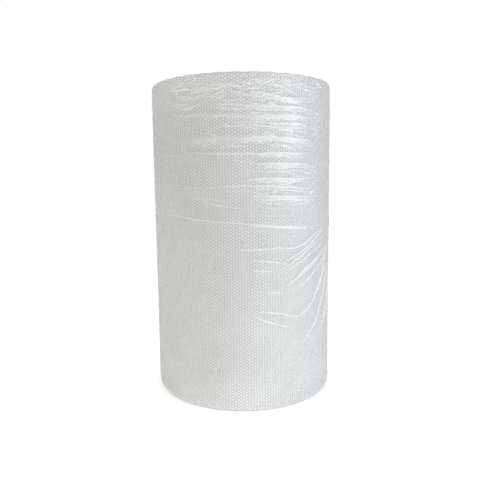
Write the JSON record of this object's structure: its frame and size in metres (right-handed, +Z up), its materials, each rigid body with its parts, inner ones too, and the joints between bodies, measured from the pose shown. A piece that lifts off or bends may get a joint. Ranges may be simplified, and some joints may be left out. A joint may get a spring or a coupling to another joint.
{
  "type": "bubble wrap roll",
  "caption": "Large roll of clear bubble film wound without a core, standing on one end, with an open bore, spiral ends and its loose edge held by clear tape.",
  "frame": {"origin": "on the axis of the bore, in the plane of the end that the roll stands on", "axes": "+Z up along the bore, -Y towards the viewer of the picture, +X to the viewer's right"},
  "size_m": [0.7123, 0.7146, 1.2],
  "materials": {
    "bubble_film": "translucent polyethylene bubble film, semi-gloss, pale greenish grey where many turns lie over each other",
    "clear_tape": "clear glossy packing tape"
  },
  "bodies": {
    "root": {"wound_bubble_wrap": "bubble_film", "closing_tape": "clear_tape"}
  },
  "joints": []
}
